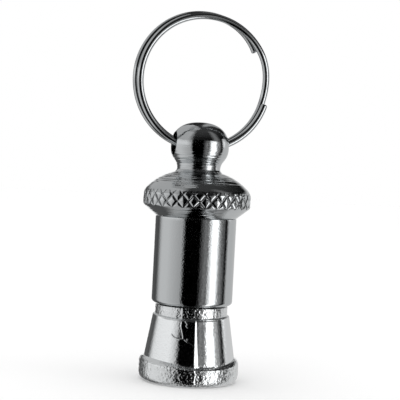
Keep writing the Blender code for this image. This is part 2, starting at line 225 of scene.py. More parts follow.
class RingSettings(bpy.types.PropertyGroup):
    """The split ring"""

    stations: count("Stations", "Steps along the wire", 480)
    outer_radius: length("Outer radius", "Outer radius of the ring", 10.30)
    wire_width: length("Wire width", "Width of the wire across the ring", 1.00)
    wire_thickness: length("Wire thickness", "Thickness of the wire along the axis", 1.00)
    wire_round: length("Wire round", "Round of the wire's corners", 0.47)
    end_round: length("End round", "Round at the wire's ends", 0.30)
    strand_gap: length("Strand gap", "Room between the two strands", 0.05)
    wire_sag: length("Sag", "How far the ring hangs on the ball's hole", 0.52)
    front_end: angle("Front end", "Where the front strand ends", -16)
    back_end: angle("Back end", "Where the back strand ends", 31)
    strand_shift: length("Strand shift", "Half the sideways shift between the strands", 0.14)
    strand_drop: length("Strand drop", "Half the upright shift between the strands", 0.09)
    strand_growth: length("Strand growth", "Half the difference of the strands' radius", 0.06)
    tip_spring: length("Tip spring", "How far the back end springs inwards", 0.45)
    tip_sweep: angle("Tip sweep", "Sweep over which the back end springs in", 38)


class SmallPieceSettings(bpy.types.PropertyGroup):
    """The rubber ring and the paper slip"""

    seal_radius: length("Seal radius", "Radius of the rubber's section", 0.40)
    slip_thickness: length("Paper thickness", "Thickness of the paper", 0.10)
    slip_pitch: length("Roll pitch", "Distance between turns of the roll", 0.16)
    slip_turns: number("Turns", "Turns of the roll", 2.2)
    slip_steps: count("Roll steps", "Steps along the roll", 220)


class FinishSettings(bpy.types.PropertyGroup):
    """The colours of the finishes and the depths of the plating's relief"""

    plating: color("Plating", "Bright plating on turned metal", 0.64, 0.66, 0.67)
    casting: color("Casting", "Bright plating on the casting", 0.90, 0.92, 0.93)
    wire: color("Wire", "Plating of the spring wire", 0.62, 0.64, 0.65)
    # Painted shade: a dark colour laid into the knurling's grooves, where the rim is shaded.
    groove_shadow: color("Painted groove shade", "Dark painted shade in the knurling's grooves", 0.15, 0.155, 0.16)
    rubber: color("Rubber", "Black rubber", 0.015, 0.015, 0.016)
    paper: color("Paper", "Blank paper", 0.86, 0.85, 0.80)
    floor: color("Floor", "The studio's floor", 1.0, 1.0, 1.0)
    head_peel: length("Head peel", "Depth of the orange peel on the head", 0.008)
    tube_peel: length("Tube peel", "Depth of the orange peel on the tube", 0.012)
    wire_peel: length("Wire peel", "Depth of the orange peel on the wire", 0.006)
    rim_marks: length("Rim marks", "Depth of the tool marks on the rim", 0.013)
    dome_marks: length("Dome marks", "Depth of the tool marks on dome and neck", 0.050)
    tube_marks: length("Tube marks", "Depth of the tool marks on the tube", 0.0006)
    wire_marks: length("Wire marks", "Depth of the drawing marks on the wire", 0.0005)
    ball_mark_share: share("Ball mark share", "How deep the marks stay on the ball", 0.08)
    deep_mark_reach: length("Deep marks", "Where deep marks start, below the ball's middle", 5.60)
    ball_mark_fade: length("Mark fade", "Where they start to fade, below the ball's middle", 1.50)


def settings(name):
    return getattr(bpy.context.scene, "capsule_" + name)


def sweep(
    shape, parts, steps, turn=0, center=(0, 0, 0), axis=(0, 0, 1), step=(0, 0, 0), closed=False
):
    """Sweeps points or edges, each step by a share of the turn and by a straight step."""
    made = bmesh.ops.spin(
        shape,
        geom=parts,
        cent=center,
        axis=axis,
        dvec=step,
        angle=turn,
        steps=steps,
        use_merge=closed,
    )
    return made["geom_last"]


class Outline:
    """An outline in the XZ plane, drawn on from its last point."""

    def __init__(self, x, z):
        self.shape = bmesh.new()
        self.last = self.shape.verts.new((x, 0, z))

    def line(self, x, z, pieces=1):
        """Draws a straight line to a point, in equal pieces."""
        step = (Vector((x, 0, z)) - self.last.co) / pieces
        self.last = sweep(self.shape, [self.last], pieces, step=step)[0]

    def arc(self, center_x, center_z, turn, pieces):
        """Turns the last point about a centre, anticlockwise where the turn is positive."""
        center = (center_x, 0, center_z)
        made = sweep(self.shape, [self.last], pieces, turn, center, axis=(0, -1, 0))
        self.last = made[0]


def turn_round(shape, columns, sharp_over=math.radians(30)):
    """Turns an outline round the Z axis and marks the edges that are to look sharp."""
    sweep(shape, shape.verts[:] + shape.edges[:], columns, full_turn, closed=True)
    clean(shape)
    mark_sharp(shape, sharp_over)


def clean(shape):
    bmesh.ops.remove_doubles(shape, verts=shape.verts, dist=weld_distance)
    bmesh.ops.recalc_face_normals(shape, faces=shape.faces)


def mark_sharp(shape, sharp_over):
    for face in shape.faces:
        face.smooth = True
    for edge in shape.edges:
        edge.smooth = edge.calc_face_angle(half_turn) < sharp_over


def round_off(shape, parts, affect, offset, segments):
    bmesh.ops.bevel(
        shape,
        geom=parts,
        offset=offset,
        offset_type="OFFSET",
        affect=affect,
        segments=segments,
        profile=0.5,
        material=-1,
    )


def to_radius(vertex, radius):
    scale = radius / vertex.co.xy.length
    vertex.co.x *= scale
    vertex.co.y *= scale


def clamped(value):
    return min(max(value, 0), 1)


def soft_step(value, low, high):
    """Rises smoothly from 0 at the low value to 1 at the high one."""
    value = clamped((value - low) / (high - low))
    return value * value * (3 - 2 * value)


def add_object(name, data):
    made = bpy.data.objects.new(name, data)
    bpy.context.scene.collection.objects.link(made)
    return made


def keep(name, shape, material):
    """Makes the finished mesh an object at the origin."""
    mesh = bpy.data.meshes.new(name)
    shape.to_mesh(mesh)
    shape.free()
    mesh.materials.append(material)
    return add_object(name, mesh)


def place(made, node, body):
    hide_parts(node)
    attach(made, body)


def apply_modifiers(made):
    graph = bpy.context.evaluated_depsgraph_get()
    mesh = bpy.data.meshes.new_from_object(made.evaluated_get(graph))
    made.modifiers.clear()
    made.data = mesh


def new_material(name, base_color, roughness, metallic=0):
    material = bpy.data.materials.new(name)
    material.use_nodes = True
    shader = material.node_tree.nodes["Principled BSDF"]
    shader.inputs["Base Color"].default_value = (*base_color, 1)
    shader.inputs["Roughness"].default_value = roughness
    shader.inputs["Metallic"].default_value = metallic
    return material, material.node_tree, shader


def add_node(tree, kind, inputs=(), **options):
    """Adds a node, sets its options, and fills or joins its inputs by name or number."""
    made = tree.nodes.new("ShaderNode" + kind)
    for key, value in options.items():
        setattr(made, key, value)
    for key, value in dict(inputs).items():
        if isinstance(value, bpy.types.NodeSocket):
            tree.links.new(value, made.inputs[key])
        else:
            made.inputs[key].default_value = value
    return made


def calculate(tree, operation, first, second=0, clamp=False):
    made = add_node(tree, "Math", {0: first, 1: second}, operation=operation, use_clamp=clamp)
    return made.outputs["Value"]


def mix_colors(tree, amount, first, second, **options):
    inputs = {"Fac": amount, "Color1": first, "Color2": second}
    return add_node(tree, "MixRGB", inputs, **options).outputs["Color"]


def object_place(tree, stretch=(1, 1, 1)):
    source = add_node(tree, "TexCoord").outputs["Object"]
    return add_node(tree, "Mapping", {"Vector": source, "Scale": stretch}).outputs["Vector"]


def object_parts(tree):
    """The X, Y and Z of a point of the object, by name."""
    source = add_node(tree, "TexCoord").outputs["Object"]
    return add_node(tree, "SeparateXYZ", {"Vector": source}).outputs


def radius_of(tree, parts):
    """A point's distance from the Z axis."""
    flat = add_node(tree, "CombineXYZ", {"X": parts["X"], "Y": parts["Y"]}).outputs["Vector"]
    return add_node(tree, "VectorMath", {0: flat}, operation="LENGTH").outputs["Value"]


def grain(tree, where, scale, detail=1.0, roughness=0.5):
    inputs = {"Vector": where, "Scale": scale, "Detail": detail, "Roughness": roughness}
    return add_node(tree, "TexNoise", inputs).outputs["Fac"]


def remap(tree, value, low, high, new_low, new_high):
    names = ("Value", "From Min", "From Max", "To Min", "To Max")
    inputs = zip(names, (value, low, high, new_low, new_high))
    return add_node(tree, "MapRange", inputs).outputs["Result"]


def rising(tree, value, starts, ends):
    return remap(tree, value, starts, ends, 0, 1)


def falling(tree, value, starts, ends):
    return remap(tree, value, starts, ends, 1, 0)


def set_roughness(tree, shader, value, low, high, smooth, rough):
    """Lets the roughness follow a value, from smooth at its low end to rough at its high one."""
    tree.links.new(remap(tree, value, low, high, smooth, rough), shader.inputs["Roughness"])


def raise_layers(tree, shader, layers, strength=1.0):
    """Raises each layer, given as its height and its full depth, over the one before it."""
    normal = None
    for height, depth in layers:
        inputs = {"Height": height, "Distance": depth, "Strength": strength}
        if normal is not None:
            inputs["Normal"] = normal
        normal = add_node(tree, "Bump", inputs).outputs["Normal"]
    tree.links.new(normal, shader.inputs["Normal"])


def turning_place(tree):
    """Coordinates that run along the turned outline and change slowly round the axis."""
    parts = object_parts(tree)
    round_share = 0.08
    slow = calculate(tree, "MULTIPLY", parts["X"], round_share)
    inputs = {"X": radius_of(tree, parts), "Y": slow, "Z": parts["Z"]}
    return add_node(tree, "CombineXYZ", inputs).outputs["Vector"]


def add_plating(tree, shader, peel_depth, mark_depth):
    """Waves, tool marks, orange peel and a few fine specks, each over the one before it."""
    where = object_place(tree)
    waves = grain(tree, where, 900)
    peel = grain(tree, where, 4600)
    specks = rising(tree, grain(tree, where, 2900), 0.71, 0.75)
    marks = rising(tree, grain(tree, turning_place(tree), 2600), 0.42, 0.6)
    shallow = 0.2 * peel_depth
    layers = ((waves, shallow), (marks, mark_depth), (peel, peel_depth), (specks, shallow))
    raise_layers(tree, shader, layers)
    set_roughness(tree, shader, waves, 0.3, 0.7, smooth=0.03, rough=0.07)


def plated_finish(name, base_color, peel_depth, mark_depth):
    material, tree, shader = new_material(name, base_color, 0.05, metallic=1)
    add_plating(tree, shader, peel_depth, mark_depth)
    return material


def tool_mark_depth(tree, ball_height):
    """Deep tool marks on dome and neck, shallower ones on the rim, hardly any on the ball."""
    finish = settings("finish")
    height = object_parts(tree)["Z"]
    deep = ball_height - finish.deep_mark_reach
    fade = 0.4 * mm
    depth = remap(tree, height, deep, deep + fade, finish.rim_marks, finish.dome_marks)
    skirt = ball_height - finish.ball_mark_fade
    kept = remap(tree, height, skirt, ball_height, 1, finish.ball_mark_share)
    return calculate(tree, "MULTIPLY", depth, kept)


def groove_shade(tree, middle_height):
    """How far a point of the rim lies down in its knurling, from 0 to 1: the mask of the shade
    painted into the grooves.
    """
    head = settings("head")
    parts = object_parts(tree)
    turn = calculate(tree, "ARCTAN2", parts["Y"], parts["X"])
    turn = calculate(tree, "SUBTRACT", turn, head.knurl_turn)
    around = calculate(tree, "MULTIPLY", turn, head.knurl_count / full_turn)
    up = calculate(tree, "SUBTRACT", parts["Z"], middle_height)
    up = calculate(tree, "DIVIDE", up, head.knurl_height)
    leads = [calculate(tree, side, around, up) for side in ("ADD", "SUBTRACT")]
    half_share, bottom_share, edge_share = 0.5, 0.03, 0.09
    near = [calculate(tree, "PINGPONG", lead, half_share) for lead in leads]
    groove = falling(tree, calculate(tree, "MINIMUM", *near), bottom_share, edge_share)
    deep = head.rim_radius - head.groove_depth - head.crown_drop
    on_rim = rising(tree, radius_of(tree, parts), deep, deep + 0.1 * mm)
    return calculate(tree, "MULTIPLY", groove, on_rim)


def head_finish(seat, ball_height):
    """Turned plating with tool marks on dome and neck, and painted shade darkening the knurling's
    grooves.
    """
    head = settings("head")
    finish = settings("finish")
    material, tree, shader = new_material("turned_plating", finish.plating, 0.05, metallic=1)
    add_plating(tree, shader, finish.head_peel, tool_mark_depth(tree, seat + ball_height))
    # Painted shade: the knurling's grooves are darkened in the base colour.
    shade = groove_shade(tree, seat + head.under_rim + head.knurl_rise)
    shaded_plating = mix_colors(tree, shade, (*finish.plating, 1), (*finish.groove_shadow, 1))
    tree.links.new(shaded_plating, shader.inputs["Base Color"])
    return material


def casting_finish():
    """Plating over a rough die casting: swells, lumps and sand, with a smoother cone."""
    base = settings("base")
    casting = settings("finish").casting
    material, tree, shader = new_material("plated_casting", casting, 0.10, metallic=1)
    where = add_node(tree, "TexCoord").outputs["Object"]
    height = object_parts(tree)["Z"]
    cone_top = base.foot_height + base.cone_length
    above = rising(tree, height, cone_top - 0.35 * mm, cone_top - 0.15 * mm)
    below = falling(tree, height, base.foot_height - 0.8 * mm, base.foot_height - 0.2 * mm)
    rough = calculate(tree, "ADD", above, below)
    swells = grain(tree, where, 1300)
    lumps = rising(tree, grain(tree, where, 2500, detail=1.5), 0.42, 0.60)
    sand = grain(tree, where, 4600)
    layers = []
    for layer, cone_depth, rough_depth in (
        (swells, 0.006, 0.014),
        (lumps, 0.003, 0.028),
        (sand, 0.012, 0.028),
    ):
        depth = remap(tree, rough, 0, 1, cone_depth * mm, rough_depth * mm)
        layers.append((layer, depth))
    raise_layers(tree, shader, layers)
    set_roughness(tree, shader, rough, 0, 1, smooth=0.04, rough=0.09)
    return material


def rubber_finish():
    rubber = settings("finish").rubber
    material, tree, shader = new_material("black_rubber", rubber, roughness=0.6)
    dust = grain(tree, object_place(tree), 5000, detail=3.0, roughness=0.6)
    set_roughness(tree, shader, dust, 0.3, 0.7, smooth=0.5, rough=0.7)
    raise_layers(tree, shader, [(dust, 0.01 * mm)], strength=0.5)
    return material


def paper_finish():
    """Blank paper: long fibres, small fibre clumps and a matt surface."""
    paper = settings("finish").paper
    material, tree, shader = new_material("blank_paper", paper, roughness=0.9)
    fibres = grain(tree, object_place(tree, (1, 1, 0.25)), 9000, detail=4.0, roughness=0.7)
    clumps = grain(tree, object_place(tree), 1800, detail=3.0, roughness=0.6)
    aged_shares = (0.94, 0.93, 0.90)
    aged = [part * kept for part, kept in zip(paper, aged_shares)]
    tint = mix_colors(tree, rising(tree, clumps, 0.35, 0.65), (*aged, 1), (*paper, 1))
    tree.links.new(tint, shader.inputs["Base Color"])
    raise_layers(tree, shader, [(fibres, 0.01 * mm)], strength=0.6)
    return material


def draw_ball(outline, ball_height):
    """The ball's crown, a quarter circle drawn out to a fuller curve, then its skirt."""
    head = settings("head")
    power = 2 / head.ball_fullness
    outline.arc(0, 0, -quarter_turn, pieces=44)
    for vertex in outline.shape.verts:
        across = abs(vertex.co.x / head.ball_crown) ** power
        up = max(vertex.co.z / head.ball_crown, 0) ** power
        vertex.co = (head.ball_radius * across, 0, ball_height + head.ball_crown * up)
    inset = head.ball_radius - head.neck_radius
    turn = 2 * math.atan(inset / head.ball_skirt)
    both = head.ball_skirt / math.sin(turn)
    convex = both * head.skirt_convex_share
    concave = both - convex
    outline.arc(head.ball_radius - convex, ball_height, -turn, pieces=16)
    outline.arc(head.neck_radius + concave, ball_height - head.ball_skirt, turn, pieces=10)


def point_at(x, z, reach, direction):
    """The point this far from another, in a direction that turns up from the X axis."""
    return x + reach * math.cos(direction), z + reach * math.sin(direction)


def head_outline():
    """Draws the head from its pole down to its spigot, with Z = 0 at its seat."""
    head = settings("head")
    edge = head.dome_edge_normal
    top = head.dome_top_normal
    rim_top = head.under_rim + head.rim_band
    upper_x = head.rim_radius - head.rim_upper_round
    lower_x = head.rim_radius - head.rim_lower_round
    dome = point_at(upper_x, rim_top, head.rim_upper_round - head.dome_round, edge)
    flare = point_at(*dome, head.dome_round + head.flare_fillet, top)
    crease = point_at(*flare, -head.flare_fillet, head.flare_end_normal)
    neck_height = crease[1] + head.neck_foot
    ball_height = neck_height + head.ball_skirt
    outline = Outline(0, head.ball_crown)
    draw_ball(outline, ball_height)
    foot_turn = math.asin(head.neck_foot / head.neck_foot_round)
    outline.arc(head.neck_radius + head.neck_foot_round, neck_height, foot_turn, pieces=6)
    outline.line(*crease)
    outline.arc(*flare, top - head.flare_end_normal, pieces=6)
    outline.arc(*dome, edge - top, pieces=18)
    outline.arc(upper_x, rim_top, -edge, pieces=22)
    outline.line(head.rim_radius, head.under_rim, pieces=16)
    outline.arc(lower_x, head.under_rim, head.under_rim_slope - quarter_turn, pieces=12)
    run = outline.last.co.z / math.tan(head.under_rim_slope)
    outline.line(outline.last.co.x - run, 0, pieces=10)
    spigot_end = -head.spigot_length
    outline.line(head.spigot_radius, 0)
    outline.line(head.spigot_radius, spigot_end + head.spigot_chamfer)
    outline.line(head.spigot_radius - head.spigot_chamfer, spigot_end)
    outline.line(0, spigot_end)
    return outline.shape, ball_height


def knurl(shape):
    """Rolls two crossing families of grooves into the rim, which fade at its rounds."""
    head = settings("head")
    middle = head.under_rim + head.knurl_rise
    diamond_width = full_turn * head.rim_radius / head.knurl_count
    side = math.hypot(diamond_width, head.knurl_height)
    spacing = diamond_width * head.knurl_height / side
    half_groove = head.groove_width / 2
    half_land = spacing / 2 - half_groove
    for vertex in shape.verts:
        radius = vertex.co.xy.length
        if radius < head.rim_radius - head.groove_depth - head.crown_drop or vertex.co.z < 0:
            continue
        turn = math.atan2(vertex.co.y, vertex.co.x) - head.knurl_turn
        up = (vertex.co.z - middle) / head.knurl_height
        wander = noise.noise(vertex.co * head.knurl_wander)
        around = turn / full_turn * head.knurl_count + head.knurl_wander_share * wander
        leads = (around + up, around - up)
        nearest = min(abs(lead - round(lead)) for lead in leads) * spacing
        if nearest < half_groove:
            depth = head.groove_depth * (1 - 2 * head.knurl_wander_share * abs(wander))
            sunk = head.crown_drop
            sunk += (depth - head.crown_drop) * (1 - nearest / half_groove)
        else:
            sunk = head.crown_drop * (1 - (nearest - half_groove) / half_land) ** 2
        to_radius(vertex, min(radius, head.rim_radius - sunk))


def eye_cutter(center_height):
    """A bar along X through the ball, which widens from each mouth of the hole outwards."""
    head = settings("head")
    mouth = head.ball_radius - head.eye_chamfer
    reach = head.ball_radius + 1.00 * mm
    flare = reach - mouth + head.eye_radius
    outline = Outline(0, reach)
    outline.line(flare, reach)
    outline.line(head.eye_radius, mouth)
    outline.line(head.eye_radius, -mouth, pieces=12)
    outline.line(flare, -reach)
    outline.line(0, -reach)
    shape = outline.shape
    turn_round(shape, columns=96)
    along_x = Matrix.Rotation(quarter_turn, 4, "Y")
    bmesh.ops.transform(shape, matrix=along_x, verts=shape.verts)
    bmesh.ops.translate(shape, vec=(0, 0, center_height), verts=shape.verts)
    return keep("eye_cutter", shape, None)


def cut_away(made, cutter):
    boolean = made.modifiers.new("cut", "BOOLEAN")
    boolean.operation = "DIFFERENCE"
    boolean.solver = "EXACT"
    boolean.object = cutter
    apply_modifiers(made)
    bpy.data.objects.remove(cutter)


def mark_eye_edges(mesh, center_height):
    """Marks the edges of the cross hole sharp, where it meets the ball."""
    head = settings("head")
    reach = head.eye_radius + head.eye_edge_band
    sharp_over = math.radians(22)
    shape = bmesh.new()
    shape.from_mesh(mesh)
    for edge in shape.edges:
        away = [math.hypot(v.co.y, v.co.z - center_height) for v in edge.verts]
        if max(away) < reach:
            edge.smooth = edge.calc_face_angle(0) < sharp_over
    shape.to_mesh(mesh)
    shape.free()


def thread_height(point, bottom, top):
    """How far the thread stands up from its root at this point."""
    thread = settings("thread")
    around = math.atan2(point.y, point.x) / full_turn
    phase = (point.z / thread.pitch - around) % 1
    crest = 1 - soft_step(abs(phase - 0.5), thread.crest_share, thread.flank_share)
    fade = soft_step(point.z, bottom, bottom + thread.run_out)
    fade *= 1 - soft_step(point.z, top - thread.run_out, top)
    return thread.height * crest * fade


def raise_thread(shape, radius, root, bottom, top, crest_top):
    """Puts the thread, from its root, on the points of a cylinder between two heights."""
    for vertex in shape.verts:
        close = abs(vertex.co.xy.length - radius) < 0.01 * mm
        if close and bottom < vertex.co.z < top:
            to_radius(vertex, root + thread_height(vertex.co, bottom, crest_top))


class HEAD_OT_make(bpy.types.Operator):
    """Makes the turned head with its knurled rim and cross-drilled ball"""

    bl_idname = "capsule.make_head"
    bl_label = "Make Head"

    def execute(self, context):
        head = settings("head")
        shape, ball_height = head_outline()
        turn_round(shape, head.columns, sharp_over=math.radians(24))
        knurl(shape)
        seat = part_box("head")[0].z + head.spigot_length
        bmesh.ops.translate(shape, vec=(0, 0, seat), verts=shape.verts)
        made = keep("knurled_head", shape, head_finish(seat, ball_height))
        eye_height = seat + ball_height + head.eye_rise
        cut_away(made, eye_cutter(eye_height))
        mark_eye_edges(made.data, eye_height)
        place(made, "head", "capsule")
        return {"FINISHED"}


class BARREL_OT_make(bpy.types.Operator):
    """Makes the plain barrel with its bore, socket and inner thread"""

    bl_idname = "capsule.make_barrel"
    bl_label = "Make Barrel"

    def execute(self, context):
        barrel = settings("barrel")
        thread = settings("thread")
        finish = settings("finish")
        bottom, top = (corner.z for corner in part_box("barrel"))
        bore = thread.root_radius + thread.height + thread.clearance
        pocket_top = bottom + barrel.pocket_depth
        thread_top = thread.top + barrel.thread_relief
        socket_floor = top - barrel.socket_depth
        top_x = barrel.radius - barrel.top_round
        bottom_x = barrel.radius - barrel.bottom_round
        bottom_z = bottom + barrel.bottom_round
        outline = Outline(barrel.socket_radius, top)
        outline.line(top_x, top)
        outline.arc(top_x, top - barrel.top_round, -quarter_turn, pieces=5)
        outline.line(barrel.radius, bottom_z, pieces=24)
        outline.arc(bottom_x, bottom_z, -quarter_turn, pieces=10)
        outline.line(barrel.pocket_radius, bottom)
        outline.line(barrel.pocket_radius, pocket_top)
        outline.line(bore, pocket_top)
        outline.line(bore, thread_top, pieces=96)
        outline.line(barrel.bore_radius, thread_top)
        outline.line(barrel.bore_radius, socket_floor)
        outline.line(barrel.socket_radius, socket_floor)
        outline.line(barrel.socket_radius, top)
        shape = outline.shape
        turn_round(shape, barrel.columns)
        raise_thread(shape, bore, bore - thread.height, pocket_top, thread_top, thread_top)
        plating = plated_finish(
            "tube_plating", finish.plating, finish.tube_peel, finish.tube_marks
        )
        made = keep("plated_barrel", shape, plating)
        place(made, "barrel", "capsule")
        return {"FINISHED"}


def base_outline():
    """Draws the base from its well's floor, over the spigot and down to the foot."""
    base = settings("base")
    root = settings("thread").root_radius
    spigot_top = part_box("base")[1].z
    cone_top = base.foot_height + base.cone_length
    collar_top = cone_top + base.collar_length
    collar_x = base.collar_radius - base.collar_round
    fillet_x = base.collar_radius + base.collar_fillet
    fillet_z = cone_top + base.collar_fillet
    shoulder_x = base.cone_top_radius - base.shoulder_round
    foot_x = base.foot_radius - base.foot_top_round
    foot_z = base.foot_height - base.foot_top_round
    crease_turn = math.acos((base.cone_bottom_radius - foot_x) / base.foot_top_round)
    crease_z = foot_z + base.foot_top_round * math.sin(crease_turn)
    bottom_x = base.foot_radius - base.foot_bottom_round
    outline = Outline(0, base.well_floor)
    outline.line(base.well_radius, base.well_floor)
    outline.line(base.well_radius, spigot_top - base.mouth_chamfer)
    outline.line(base.well_radius + base.mouth_chamfer, spigot_top)
    outline.line(root - base.lead_chamfer, spigot_top)
    outline.line(root, spigot_top - base.lead_chamfer)
    outline.line(root, collar_top, pieces=76)
    outline.line(collar_x, collar_top)
    outline.arc(collar_x, collar_top - base.collar_round, -quarter_turn, pieces=4)
    outline.line(base.collar_radius, fillet_z, pieces=16)
    outline.arc(fillet_x, fillet_z, quarter_turn, pieces=4)
    outline.line(shoulder_x, cone_top)
    outline.arc(shoulder_x, cone_top - base.shoulder_round, -quarter_turn, pieces=6)
    outline.line(base.cone_bottom_radius, crease_z, pieces=66)
    outline.arc(foot_x, foot_z, -crease_turn, pieces=12)
    outline.line(base.foot_radius, base.foot_bottom_round, pieces=14)
    outline.arc(bottom_x, base.foot_bottom_round, -quarter_turn, pieces=12)
    outline.line(0, 0)
    return outline.shape


def turned_from_front(point):
    """The turn of a point round the axis, from the front towards +X."""
    return math.atan2(point.x, -point.y)


def casting_roughness(point):
    """How far the rough casting stands up or down at a point."""
    base = settings("base")
    lumps = noise.noise(point * base.lump_waves)
    return base.casting_grain * (lumps + noise.noise(point * base.grain_waves))


def mould_ridge(point, line_turn):
    """How far the parting line at this turn stands up at a point."""
    base = settings("base")
    away = abs(turned_from_front(point) - line_turn) * point.xy.length
    return base.mould_line * math.exp(-((away / base.mould_line_width) ** 2))


def lower_edges(shape):
    """Lets the foot's edge and the cone's shoulder run a little low in front."""
    base = settings("base")
    cone_top = base.foot_height + base.cone_length
    slope = (base.cone_bottom_radius - base.cone_top_radius) / base.cone_length
    slack = 0.1 * mm
    foot_fade = 1.3 * mm
    shoulder_fade = 0.8 * mm
    for vertex in shape.verts:
        height = vertex.co.z
        radius = vertex.co.xy.length
        if radius < base.collar_radius - slack or height > cone_top + shoulder_fade:
            continue
        turn = turned_from_front(vertex.co)
        near_foot = 1 - soft_step(abs(height - base.foot_height), 0, foot_fade)
        near_top = 1 - soft_step(abs(height - cone_top), slack, shoulder_fade)
        foot_front = max(0, math.cos(turn - base.foot_dip_turn)) ** 3
        top_front = max(0, math.cos(turn - base.collar_dip_turn)) ** 2
        drop = base.foot_dip * near_foot * foot_front + base.collar_dip * near_top * top_front
        if base.foot_height - slack < height < cone_top - base.shoulder_round:
            to_radius(vertex, radius + slope * drop)
        vertex.co.z -= drop


def away_from_line(point, line):
    """Distance from a point to a line of points, all flat."""
    nearest = 1
    for start, end in zip(line, line[1:]):
        along = end - start
        share_along = clamped((point - start).dot(along) / along.length_squared)
        nearest = min(nearest, (point - start - along * share_along).length)
    return nearest


def scratch_lines():
    """The scratch and its branches on the cone, as flat points (way round, height)."""
    lines = (
        ((-27.5, 9.2), (-28.0, 8.7), (-27.1, 8.33), (-25.1, 7.64), (-23.8, 6.95),
         (-17.5, 6.42), (-13.5, 6.17), (-8.1, 5.77)),
        ((-40.7, 7.35), (-37.0, 7.0), (-32.8, 6.86), (-28.5, 6.76), (-23.6, 6.85)),
        ((-18.0, 6.9), (-19.0, 6.6), (-18.3, 6.46)),
        ((-22.0, 9.3), (-19.5, 9.0), (-20.5, 8.7), (-18.5, 8.45)),
    )
    radius = settings("base").cone_bottom_radius
    return [
        [Vector((math.radians(degrees) * radius, height * mm)) for degrees, height in line]
        for line in lines
    ]


def refine_cone(shape, low, high):
    """Halves the faces round the parting line and the scratch."""
    base = settings("base")
    fine_turn = math.radians(-20)
    half_sweep = math.radians(25)
    cone_depth = 1.2 * mm
    fine = []
    for edge in shape.edges:
        middle = (edge.verts[0].co + edge.verts[1].co) / 2
        on_cone = abs(middle.xy.length - base.cone_bottom_radius) < cone_depth
        in_front = abs(turned_from_front(middle) - fine_turn) < half_sweep
        if on_cone and in_front and low < middle.z < high:
            fine.append(edge)
    bmesh.ops.subdivide_edges(shape, edges=fine, cuts=1, use_grid_fill=True)


def mark_cone(shape):
    """The facet beside the parting line and the raised scratch on the cone."""
    base = settings("base")
    low = base.foot_height - base.foot_dip - 0.1 * mm
    high = base.foot_height + base.cone_length - base.shoulder_round
    inner = base.cone_top_radius - 0.05 * mm
    outer = base.cone_bottom_radius + 0.12 * mm
    marked_sweep = math.radians(70)
    edge_power = 10
    refine_cone(shape, base.foot_height, high)
    lines = scratch_lines()
    for vertex in shape.verts:
        height = vertex.co.z
        radius = vertex.co.xy.length
        turn = turned_from_front(vertex.co)
        on_cone = low < height < high and inner <= radius <= outer
        if not on_cone or abs(turn) > marked_sweep:
            continue
        raised = 0
        beside = (turn - base.parting_turn) * radius
        if beside > 0:
            down = clamped((high - height) / (high - low))
            widening = (base.mould_facet_bottom - base.mould_facet_top) * down**1.5
            across = beside / (base.mould_facet_top + widening)
            fall = base.mould_facet_slope * beside / (1 + across**edge_power) ** (1 / edge_power)
            raised -= fall * math.exp(-beside / base.mould_facet_reach)
        flat = Vector((turn * base.cone_bottom_radius, height))
        away = min(away_from_line(flat, line) for line in lines)
        raised += base.scratch_height * math.exp(-((away / base.scratch_width) ** 2))
        to_radius(vertex, radius + raised)


def roughen_base(shape):
    """Grain, parting lines and the foot's facet, on the foot and the collar."""
    base = settings("base")
    cone_top = base.foot_height + base.cone_length
    collar_top = cone_top + base.collar_length
    slack = 0.02 * mm
    low_fade = 0.6 * mm
    top_fade = 0.25 * mm
    collar_share = 0.8
    for vertex in shape.verts:
        radius = vertex.co.xy.length
        height = vertex.co.z
        on_foot = radius > base.cone_top_radius and slack < height < base.foot_height
        on_collar = abs(radius - base.collar_radius) < slack and cone_top < height < collar_top
        if on_foot:
            rough = soft_step(height, 0, low_fade)
            rough *= 1 - soft_step(height, base.foot_height - top_fade, base.foot_height)
            raised = mould_ridge(vertex.co, base.parting_turn)
        elif on_collar:
            rough = collar_share
            raised = mould_ridge(vertex.co, base.collar_parting_turn)
        else:
            continue
        raised += casting_roughness(vertex.co)
        beside = (turned_from_front(vertex.co) - base.parting_turn) * radius
        if on_foot and 0 < beside < base.foot_radius:
            fall = base.foot_facet_slope * beside
            raised -= fall * math.exp(-beside / base.foot_facet_width)
        to_radius(vertex, radius + rough * raised)


class BASE_OT_make(bpy.types.Operator):
    """Makes the die-cast base with its threaded spigot"""

    bl_idname = "capsule.make_base"
    bl_label = "Make Base"

    def execute(self, context):
        base = settings("base")
        thread = settings("thread")
        root = thread.root_radius
        crest_top = thread.top - base.lead_chamfer / 2
        shape = base_outline()
        turn_round(shape, base.columns)
        raise_thread(shape, root, root, thread.bottom, thread.top, crest_top)
        roughen_base(shape)
        lower_edges(shape)
        mark_cone(shape)
        made = keep("cast_base", shape, casting_finish())
        place(made, "base", "base_unit")
        return {"FINISHED"}


def ring_middle(travel):
    """The wire's middle line, this far along it in radians from its front end."""
    ring = settings("ring")
    crossing = full_turn - (ring.back_end - ring.front_end)
    sweep_angle = crossing + full_turn
    wire_radius = ring.outer_radius - ring.wire_width / 2
    side = 1 - 2 * soft_step(travel, crossing, full_turn)
    spring = ring.tip_spring * max(0, 1 - (sweep_angle - travel) / ring.tip_sweep) ** 2
    radius = wire_radius - side * ring.strand_growth - spring
    turn = ring.front_end - travel
    x = side * ring.strand_shift + radius * math.cos(turn)
    y = -side * (ring.wire_thickness + ring.strand_gap) / 2
    z = wire_radius - ring.wire_sag - side * ring.strand_drop + radius * math.sin(turn)
    return Vector((x, y, z)), Vector((math.cos(turn), 0, math.sin(turn)))


